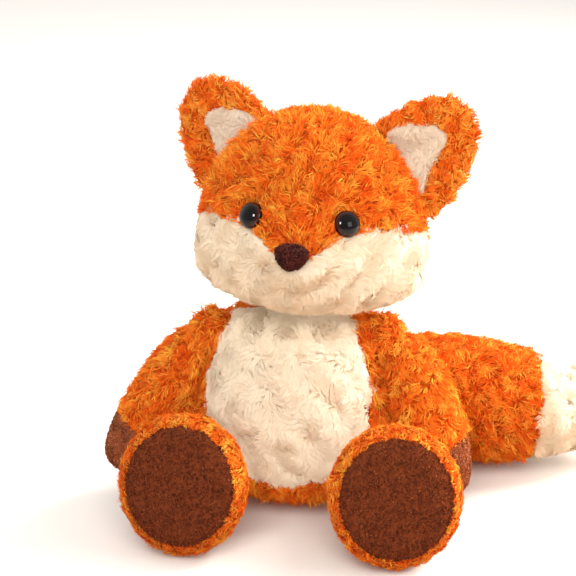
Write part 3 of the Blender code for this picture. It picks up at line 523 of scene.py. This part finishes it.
def outer_shell(name, nodes, voxel, fillers):
    """One closed surface round some solids and filler balls, without what lies inside it."""
    shape = solids(nodes)
    for centre, radius in fillers:
        bmesh.ops.create_icosphere(
            shape, subdivisions=3, radius=radius, matrix=Matrix.Translation(centre)
        )
    mesh = bpy.data.meshes.new(name)
    shape.to_mesh(mesh)
    shape.free()
    obj = link(bpy.data.objects.new(name, mesh))
    remesh = obj.modifiers.new("Remesh", "REMESH")
    remesh.mode = "VOXEL"
    remesh.voxel_size = voxel
    smooth = obj.modifiers.new("Smooth", "SMOOTH")
    smooth.factor = 0.5
    smooth.iterations = SMOOTHING
    mesh = evaluated(obj)
    shape = bmesh.new()
    shape.from_mesh(mesh)
    for island in sorted(islands(shape), key=len)[:-1]:
        bmesh.ops.delete(shape, geom=island, context="VERTS")
    bmesh.ops.triangulate(shape, faces=shape.faces)
    shape.to_mesh(mesh)
    shape.free()
    return mesh


def islands(shape):
    """The separate surfaces of a mesh, each a list of its vertices."""
    left = set(shape.verts)
    found = []
    while left:
        first = left.pop()
        island = [first]
        front = [first]
        while front:
            place = front.pop()
            for edge in place.link_edges:
                other = edge.other_vert(place)
                if other in left:
                    left.remove(other)
                    island.append(other)
                    front.append(other)
        found.append(island)
    return found


def read(mesh):
    """A mesh's places, triangles, edges and vertex normals as arrays."""
    places = np.empty(len(mesh.vertices) * 3)
    mesh.vertices.foreach_get("co", places)
    normals = np.empty(len(mesh.vertices) * 3)
    mesh.vertices.foreach_get("normal", normals)
    triangles = np.empty(len(mesh.polygons) * 3, int)
    mesh.polygons.foreach_get("vertices", triangles)
    edges = np.empty(len(mesh.edges) * 2, int)
    mesh.edges.foreach_get("vertices", edges)
    return (
        places.reshape(-1, 3),
        triangles.reshape(-1, 3),
        edges.reshape(-1, 2),
        normals.reshape(-1, 3),
    )


def spread_out(values, edges, rounds):
    """Evens out a value at each vertex with its neighbours'."""
    count = np.bincount(edges.ravel(), minlength=len(values))
    for _ in range(rounds):
        total = np.bincount(edges[:, 0], values[edges[:, 1]], len(values))
        total += np.bincount(edges[:, 1], values[edges[:, 0]], len(values))
        values = (values + total / np.maximum(count, 1)) / 2
    return values


def fabric_of(places, fabrics):
    """Which fabric's solid each place is nearest to, as a number; a margin keeps a fabric small.

    Fabrics are named with the nodes of their solids.
    """
    trees = []
    for nodes in fabrics.values():
        shape = solids(nodes)
        trees.append(BVHTree.FromBMesh(shape))
        shape.free()
    reach = np.empty((len(places), len(trees)))
    for column, (tree, fabric) in enumerate(zip(trees, fabrics)):
        margin = FABRICS[fabric].get("margin", 0.0)
        reach[:, column] = [tree.find_nearest(place)[3] + margin for place in places]
    return np.argmin(reach, axis=1)


def skin(name, body, fabrics, stuffing, voxel=VOXEL, fillers=(), inset_share=1.0):
    """A body's skin in its fabrics, which are named with their solids. Gives what pile needs."""
    covers = [node for nodes in fabrics.values() for node in nodes]
    mesh = outer_shell(name, covers + stuffing, voxel, fillers)
    places, triangles, edges, normals = read(mesh)
    names = list(fabrics)
    kinds = fabric_of(places, fabrics)
    insets = np.array([FABRICS[fabric]["inset"] for fabric in names])[kinds] * inset_share
    insets = spread_out(insets, edges, INSET_ROUNDS)
    places = places - normals * insets[:, None]
    places[:, 2] = np.maximum(places[:, 2], FLOOR_GAP)
    mesh.vertices.foreach_set("co", places.ravel())
    mesh.update()
    places, triangles, edges, normals = read(mesh)
    # The middle one of a triangle's three fabrics is the one that most of its corners share
    face_kinds = np.sort(kinds[triangles], axis=1)[:, 1]
    for fabric in names:
        mesh.materials.append(FABRICS[fabric]["skin"])
    mesh.polygons.foreach_set("material_index", face_kinds.astype(np.int32))
    mesh.shade_smooth()
    obj = link(bpy.data.objects.new(name, mesh))
    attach(obj, body)
    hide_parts(*covers, *stuffing)
    return {
        "object": obj,
        "body": body,
        "places": places,
        "triangles": triangles,
        "normals": normals,
        "fabrics": fabrics,
        "area": area_of(places, triangles),
    }


# Pile


def scatter(places, triangles, normals, count, rng):
    """Points spread evenly over triangles, with the normal at each."""
    corners = places[triangles]
    areas = np.linalg.norm(
        np.cross(corners[:, 1] - corners[:, 0], corners[:, 2] - corners[:, 0]), axis=1
    )
    chosen = rng.choice(len(triangles), size=count, p=areas / areas.sum())
    first = np.sqrt(rng.random(count))[:, None]
    second = rng.random(count)[:, None]
    shares = np.concatenate((1 - first, first * (1 - second), first * second), axis=1)
    points = np.einsum("ij,ijk->ik", shares, corners[chosen])
    facing = np.einsum("ij,ijk->ik", shares, normals[triangles[chosen]])
    return points, unit(facing)


def area_of(places, triangles):
    """The area of a surface."""
    corners = places[triangles]
    sides = np.cross(corners[:, 1] - corners[:, 0], corners[:, 2] - corners[:, 0])
    return float(np.linalg.norm(sides, axis=1).sum() / 2)


def nearest_lock(points, facing, centres, centre_facing, reach):
    """For each strand, its nearest lock on the same side of the fabric."""
    tree = KDTree(len(centres))
    for row, place in enumerate(centres + centre_facing * reach):
        tree.insert(place, row)
    tree.balance()
    return np.array([tree.find(place)[1] for place in points + facing * reach])


def blade_mesh(name, paths, widths, facing, tones, skinward, material):
    """Flat tapered blades along paths of places: a pair of corners at each place, one at the tip.

    They are shaded with their own normals, turned by some share to those of the skin.
    """
    count = len(paths)
    pairs = len(STRAND_STEPS)
    corners = pairs * 2 + 1
    tangent = unit(paths[:, -1] - paths[:, 0])
    side = unit(np.cross(tangent, facing))
    over = unit(np.cross(side, tangent))
    points = np.empty((count, corners, 3))
    normals = np.empty((count, corners, 3))
    for step in range(pairs):
        for corner, way in ((0, -1), (1, 1)):
            place = step * 2 + corner
            points[:, place] = paths[:, step] + side * (widths[:, step, None] * way / 2)
            normals[:, place] = over + side * (BLADE_ROUNDING * way)
    points[:, -1] = paths[:, -1]
    normals[:, -1] = over
    normals = unit((normals + skinward[:, None]).reshape(-1, 3))
    points[:, :, 2] = np.maximum(points[:, :, 2], FLOOR_GAP)
    faces = [(step * 2, step * 2 + 1, step * 2 + 3, step * 2 + 2) for step in range(pairs - 1)]
    faces.append((corners - 3, corners - 2, corners - 1))
    loops = np.array([place for face in faces for place in face])
    sizes = np.array([len(face) for face in faces])
    starts = np.cumsum(sizes) - sizes
    first_corners = (np.arange(count) * corners)[:, None]
    first_loops = (np.arange(count) * len(loops))[:, None]
    mesh = bpy.data.meshes.new(name)
    mesh.vertices.add(count * corners)
    mesh.vertices.foreach_set("co", points.astype(np.float32).ravel())
    mesh.loops.add(count * len(loops))
    mesh.loops.foreach_set("vertex_index", (first_corners + loops).astype(np.int32).ravel())
    mesh.polygons.add(count * len(sizes))
    mesh.polygons.foreach_set("loop_start", (first_loops + starts).astype(np.int32).ravel())
    mesh.polygons.foreach_set("loop_total", np.tile(sizes, count).astype(np.int32))
    mesh.update(calc_edges=True)
    layer = mesh.uv_layers.new(name="OFBake")
    across = np.array([-1.0, 1.0] * pairs + [0.0]) * UV_HALF_WIDTH
    up = np.array([step for step in STRAND_STEPS for _ in range(2)] + [1.0])
    uv = np.empty((count, len(loops), 2))
    uv[:, :, 0] = tones[:, None] + across[loops]
    uv[:, :, 1] = UV_MARGIN + (1 - 2 * UV_MARGIN) * up[loops]
    layer.data.foreach_set("uv", uv.astype(np.float32).ravel())
    mesh.materials.append(material)
    mesh.shade_smooth()
    mesh.normals_split_custom_set_from_vertices(normals)
    return mesh


def wisps(base, fabric, style, flow, rng, seed, bare):
    """Places, tips, bows and tones of one fabric's wisps, which lie in locks like combed wool.

    Flow gives the way that the pile lies at some places, and none grows in the bare balls.
    """
    count = int(base["area"] * style["density"] / WISP_STRANDS)
    points, facing = scatter(base["places"], base["triangles"], base["normals"], count, rng)
    number = list(base["fabrics"]).index(fabric)
    keep = fabric_of(points, base["fabrics"]) == number
    for centre, radius in bare:
        keep &= np.linalg.norm(points - np.array(centre), axis=1) > radius
    points, facing = points[keep], facing[keep]
    count = max(int(base["area"] / style["lock"] ** 2), FEWEST_LOCKS)
    centres, up = scatter(base["places"], base["triangles"], base["normals"], count, rng)
    lock = nearest_lock(points, facing, centres, up, style["lock"])
    variety = style["variety"]
    stray = rng.normal(size=centres.shape) * style["scatter"]
    lift = 1 + variety * rng.uniform(*LOCK_LIFTS, (count, 1))
    reach = style["length"] * (LOCK_REACH + variety * rng.uniform(*LOCK_REACHES, (count, 1)))
    side = rng.choice((-1.0, 1.0), (count, 1))
    patch = swirl(centres, LUMP, seed + 1)[:, 0] * style["patch"]
    tone = rng.normal(size=count) * (LOCK_TONE * variety) + patch
    heading = unit(flow(points)) + swirl(points, style["wave"], seed) * style["wander"]
    heading += stray[lock] + rng.normal(size=points.shape) * style["stray"]
    heading -= facing * np.sum(heading * facing, axis=1, keepdims=True)
    lie = unit(unit(heading) + facing * (style["rise"] * lift[lock]))
    off = points - centres[lock]
    edge = np.minimum(np.linalg.norm(off, axis=1) / style["lock"], LOCK_EDGE)
    size = rng.uniform(*WISP_SIZES, (len(points), 1))
    size *= LOCK_MIDDLE_SIZE - LOCK_EDGE_LOSS * edge[:, None] * variety
    tips = points + (lie * reach[lock] - off * style["gather"]) * size
    tips += rng.normal(size=points.shape) * (style["length"] * style["jitter"])
    over = fabric_of(tips, base["fabrics"]) != number
    tips[over] = points[over] + (tips[over] - points[over]) * style["trim"]
    bow = unit(np.cross(lie, facing)) * side[lock]
    bows = bow * (style["curl"] * rng.uniform(*WISP_BOWS, (len(points), 1)))
    # Painted shade: tones darken from a lock's middle to its edge, in the creases between locks
    tones = tone[lock] + (LOCK_MIDDLE_PAINTED_LIGHT - LOCK_EDGE_PAINTED_SHADE * edge) * variety
    tones += rng.normal(size=len(points)) * WISP_TONE
    tones = 0.5 + tones * style["contrast"]
    return points, facing, tips, bows, tones


def grow(base, fabric, flow, seed, bare=(), coat=None):
    """Grows one fabric's pile on a skin, each wisp a few blades, and lets it ride with it."""
    style = {**FABRICS[fabric], **(coat or {})}
    length = style["length"]
    rng = np.random.default_rng(seed)
    made = wisps(base, fabric, style, flow, rng, seed, bare)
    points, facing, tips, bows, tones = (np.repeat(part, WISP_STRANDS, axis=0) for part in made)
    shift = rng.normal(size=points.shape) * style["wisp"]
    shift -= facing * np.sum(shift * facing, axis=1, keepdims=True)
    points = points + shift
    jitter = rng.normal(size=tips.shape) * (length * TIP_JITTER_SHARE)
    tips = tips + shift * TIP_SHIFT_SHARE + jitter
    stand = facing * (length * style["puff"])
    paths = np.empty((len(points), len(STRAND_STEPS) + 1, 3))
    for step, part in enumerate((*STRAND_STEPS, 1.0)):
        bend = (1 - part) ** 2 * points + 2 * part * (1 - part) * (points + stand) + part**2 * tips
        paths[:, step] = bend + bows * math.sin(part * math.pi * BOW_TURN)
    widths = np.array(WIDTH_SHARES) * style["width"] * rng.uniform(*BLADE_WIDTHS, (len(points), 1))
    tones = np.clip(tones + rng.normal(size=len(points)) * style["fleck"], *TONE_LIMITS)
    toward = unit(facing + rng.normal(size=facing.shape) * style["ruffle"])
    skinward = facing * style["smooth"]
    for number, start in enumerate(range(0, len(points), PIECE_STRANDS)):
        part = slice(start, start + PIECE_STRANDS)
        name = f"{base['object'].name}_{fabric}_pile_{number + 1}"
        mesh = blade_mesh(
            name, paths[part], widths[part], toward[part], tones[part], skinward[part], style["pile"]
        )
        obj = link(bpy.data.objects.new(name, mesh))
        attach(obj, base["body"])


def joint_place(name):
    """Where a joint's axis passes."""
    return np.array(JOINTS[name]["pos_m"])


def straight(way):
    """A flow of pile that lies one way everywhere."""

    def flow(points):
        return np.tile(way, (len(points), 1))

    return flow


def gathered(goal):
    """A flow of pile that lies toward one place."""

    def flow(points):
        return unit(goal - points)

    return flow


down = straight((0.0, 0.0, -1.0))

# Torso
shoulders = [joint_place("arm_left_lift"), joint_place("arm_right_lift")]
hips = [joint_place("leg_left_lift"), joint_place("leg_right_lift")]
tail_root = joint_place("tail_swing")
neck_joint = joint_place("head_turn")
torso = skin(
    "torso",
    "torso",
    {"orange": ["body_cover"], "cream": ["belly_panel"]},
    ["body_stuffing"],
    fillers=[(Vector(place), SHOULDER_FILL) for place in shoulders]
    + [(Vector(place), HIP_FILL) for place in hips]
    + [(Vector(tail_root), TAIL_FILL), (Vector(neck_joint), NECK_FILL)],
)
bare_torso = [(place, SHOULDER_BARE) for place in shoulders]
bare_torso += [(place, HIP_BARE) for place in hips]
bare_torso.append((tail_root, TAIL_BARE))
grow(torso, "orange", down, seed=11, bare=bare_torso)
grow(torso, "cream", down, seed=12, bare=bare_torso)

# Arms and legs
for side, sign in (("left", 1), ("right", -1)):
    shoulder = joint_place(f"arm_{side}_lift")
    low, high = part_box("paw_" + side)
    wrist = np.array((low + high) / 2)
    along = (wrist - shoulder) / np.linalg.norm(wrist - shoulder)
    arm = skin(
        "arm_" + side,
        "arm_" + side,
        {"orange": ["arm_sleeve_" + side], "paw": ["paw_" + side]},
        ["arm_stuffing_" + side],
        inset_share=ARM_INSET_SHARE,
    )
    bare_root = [(shoulder, ARM_ROOT_BARE)]
    grow(arm, "orange", straight(along), seed=20 + sign, bare=bare_root, coat=ARM_COAT)
    grow(arm, "paw", straight(along), seed=30 + sign)

    low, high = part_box("sole_" + side)
    sole_middle = np.array((low + high) / 2)
    leg = skin(
        "leg_" + side,
        "leg_" + side,
        {"orange": ["leg_cover_" + side], "sole": ["sole_" + side]},
        ["leg_stuffing_" + side],
        inset_share=LEG_INSET_SHARE,
    )
    grow(leg, "orange", gathered(sole_middle), seed=40 + sign, coat=LEG_COAT)
    grow(leg, "sole", down, seed=50 + sign)

# Tail
tail = skin(
    "tail", "tail", {"orange": ["tail_cover"], "cream": ["tail_tip"]}, ["tail_stuffing"]
)
outward = straight((1.0, 0.0, 0.0))
bare_root = [(tail_root, TAIL_ROOT_BARE)]
grow(tail, "orange", outward, seed=61, bare=bare_root, coat=TAIL_COAT)
grow(tail, "cream", outward, seed=62)

# Head
head = skin(
    "head",
    "head",
    {"orange": ["head_cover"], "cream": ["cheek_panel_left", "cheek_panel_right"]},
    ["head_stuffing"],
    fillers=[(Vector(neck_joint) + Vector((0, 0, HEAD_FILL_RISE)), HEAD_FILL)],
)
low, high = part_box("nose_cover")
nose_middle = np.array((low + high) / 2)


def from_nose(points):
    """Pile that lies away from the nose, over the face and round the head."""
    return unit(points - nose_middle)


def under_eyes(points):
    """Pile of the cheeks, which lies outward and down, so that the mask keeps a crisp edge."""
    away = unit(points - nose_middle)
    away[:, 2] = np.minimum(away[:, 2], -CHEEK_DROP)
    return away


bare_head = [(neck_joint, NECK_BARE), (nose_middle, NOSE_BARE)]
for side in ("left", "right"):
    low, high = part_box("eye_" + side)
    bare_head.append((np.array((low + high) / 2), EYE_BARE))
grow(head, "orange", from_nose, seed=71, bare=bare_head)
grow(head, "cream", under_eyes, seed=72, bare=bare_head)

# Ears
for side, sign in (("left", 1), ("right", -1)):
    ear = skin(
        "ear_" + side,
        "ear_" + side,
        {"orange": ["ear_cover_" + side], "ear": ["ear_lining_" + side]},
        ["ear_stuffing_" + side],
        voxel=EAR_VOXEL,
        inset_share=EAR_INSET_SHARE,
    )
    low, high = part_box("ear_cover_" + side)
    ear_tip = np.array(((low.x + high.x) / 2, (low.y + high.y) / 2, high.z))
    ear_root = joint_place(f"ear_{side}_fold")
    ear_way = (ear_tip - ear_root) / np.linalg.norm(ear_tip - ear_root)
    grow(ear, "orange", straight(ear_way), seed=80 + sign, coat=EAR_COAT)
    grow(ear, "ear", straight(-ear_way), seed=90 + sign)

# Nose
nose = skin("nose", "head", {"nose": ["nose_cover"]}, ["nose_stuffing"], voxel=NOSE_VOXEL)
grow(nose, "nose", down, seed=95)

# Neck
neck = skin(
    "neck",
    "neck",
    {"cream": ["neck_stuffing"]},
    [],
    voxel=NECK_VOXEL,
    inset_share=NECK_INSET_SHARE,
)
grow(neck, "cream", down, seed=98, coat=NECK_COAT)

# Eyes


def middle_of(node):
    """The mean of a CAD node's corners, which for a turned piece lies on its axis."""
    corners = NODES[node].data.vertices
    return sum((corner.co for corner in corners), Vector()) / len(corners)


def eye(side):
    """A glossy dome over a CAD eye, with its colours running from its middle to its rim."""
    corners = [corner.co for corner in NODES["eye_" + side].data.vertices]
    middle = middle_of("eye_" + side)
    axis = (middle - middle_of("eye_washer_" + side)).normalized()
    along = [(corner - middle).dot(axis) for corner in corners]
    across = [((corner - middle) - axis * rise).length for corner, rise in zip(corners, along)]
    radius = max(across)
    rim = max(rise for rise, wide in zip(along, across) if wide > EYE_RIM_SHARE * radius)
    height = max(along) - rim
    shape = bmesh.new()
    layer = shape.loops.layers.uv.new("OFBake")
    bmesh.ops.create_uvsphere(shape, u_segments=EYE_SIDES, v_segments=EYE_SIDES // 2, radius=1.0)
    for corner in shape.verts:
        below = corner.co.z < 0
        corner.co.z *= EYE_BACK_SHARE if below else 1.0
    for face in shape.faces:
        face.smooth = True
        for loop in face.loops:
            place = loop.vert.co
            share = 1 - EYE_UV_MARGIN
            if place.z >= 0:
                share = min(math.hypot(place.x, place.y), share)
            across_uv = EYE_UV_MARGIN + (1 - 2 * EYE_UV_MARGIN) * share
            loop[layer].uv = (across_uv, 0.5 + 0.45 * place.x)
    for corner in shape.verts:
        corner.co = Vector((corner.co.x * radius, corner.co.y * radius, corner.co.z * height))
    facing = axis.to_track_quat("Z", "Y").to_matrix().to_4x4()
    shape.transform(Matrix.Translation(middle + axis * rim) @ facing)
    mesh = bpy.data.meshes.new("eye " + side)
    shape.to_mesh(mesh)
    shape.free()
    mesh.materials.append(EYE_PLASTIC)
    obj = link(bpy.data.objects.new("eye_dome_" + side, mesh))
    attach(obj, "head")
    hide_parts("eye_" + side, "eye_washer_" + side)


for side in ("left", "right"):
    eye(side)

# Camera, floor and light
camera = link(bpy.data.objects.new("Camera", bpy.data.cameras.new("Camera")))
camera.data.sensor_width = 36.0
camera.data.lens = CAMERA_LENS
turn = math.radians(CAMERA_TURN)
rise = math.radians(CAMERA_RISE)
offset = Vector(
    (math.sin(turn) * math.cos(rise), -math.cos(turn) * math.cos(rise), math.sin(rise))
)
camera.location = CAMERA_TARGET + offset * CAMERA_DISTANCE
camera.rotation_euler = offset.to_track_quat("Z", "Y").to_euler()
bpy.context.scene.camera = camera

bpy.ops.mesh.primitive_plane_add(size=FLOOR_SIZE)
floor = bpy.context.object
floor.name = "floor"
floor_material, floor_tree, floor_shader = shader_material("pale floor", roughness=0.8)
# The floor is seen pale, also in a gloss or through glass, and throws back a warmer light
path = floor_tree.nodes.new("ShaderNodeLightPath")
seen = path.outputs["Is Camera Ray"]
for kind in ("Is Glossy Ray", "Is Transmission Ray"):
    larger = floor_tree.nodes.new("ShaderNodeMath")
    larger.operation = "MAXIMUM"
    floor_tree.links.new(seen, larger.inputs[0])
    floor_tree.links.new(path.outputs[kind], larger.inputs[1])
    seen = larger.outputs[0]
floor_mix = floor_tree.nodes.new("ShaderNodeMix")
floor_mix.data_type = "RGBA"
floor_mix.inputs["A"].default_value = (*FLOOR_BOUNCE, 1)
floor_mix.inputs["B"].default_value = (*FLOOR_SEEN, 1)
floor_tree.links.new(seen, floor_mix.inputs["Factor"])
floor_tree.links.new(floor_mix.outputs["Result"], floor_shader.inputs["Base Color"])
floor.data.materials.append(floor_material)

# The backdrop is bright behind the fox and dimmer in front of it
world = bpy.data.worlds.new("World")
bpy.context.scene.world = world
world.use_nodes = True
world_tree = world.node_tree
heading = world_tree.nodes.new("ShaderNodeTexCoord")
parts = world_tree.nodes.new("ShaderNodeSeparateXYZ")
world_tree.links.new(heading.outputs["Generated"], parts.inputs[0])
spread = world_tree.nodes.new("ShaderNodeMapRange")
spread.inputs["From Min"].default_value = -1.0
world_tree.links.new(parts.outputs["Y"], spread.inputs["Value"])
backdrop = ramp(world_tree, spread.outputs["Result"], BACKDROP_TONES)
background = world_tree.nodes["Background"]
background.inputs["Strength"].default_value = BACKDROP_STRENGTH
world_tree.links.new(backdrop, background.inputs["Color"])


def lamp(name, place, power, size, colour=(1, 1, 1), mirrored=False):
    """A square soft lamp that faces the fox, and is either seen in the eyes or lights the pile."""
    data = bpy.data.lights.new(name, "AREA")
    data.energy = power
    data.size = size
    data.color = colour
    obj = link(bpy.data.objects.new(name, data))
    obj.location = place
    facing = Vector(place) - LAMP_AIM
    obj.rotation_euler = facing.to_track_quat("Z", "Y").to_euler()
    obj.visible_glossy = mirrored
    obj.visible_diffuse = not mirrored


lamp("back", (0.95, 0.65, 0.92), power=56.0, size=0.9, colour=(1.0, 0.97, 0.93))
lamp("side", (1.30, -0.15, 0.55), power=10.0, size=0.7, colour=(1.0, 0.95, 0.88))
lamp("front", (0.05, -1.30, 1.30), power=25.5, size=1.4, colour=(1.0, 0.97, 0.92))
lamp("spark", (-0.45, -1.40, 1.00), power=22.0, size=0.35, mirrored=True)
lamp("glint", (1.10, -1.00, 0.70), power=5.0, size=0.6, mirrored=True)

bpy.context.scene.view_settings.view_transform = "Standard"
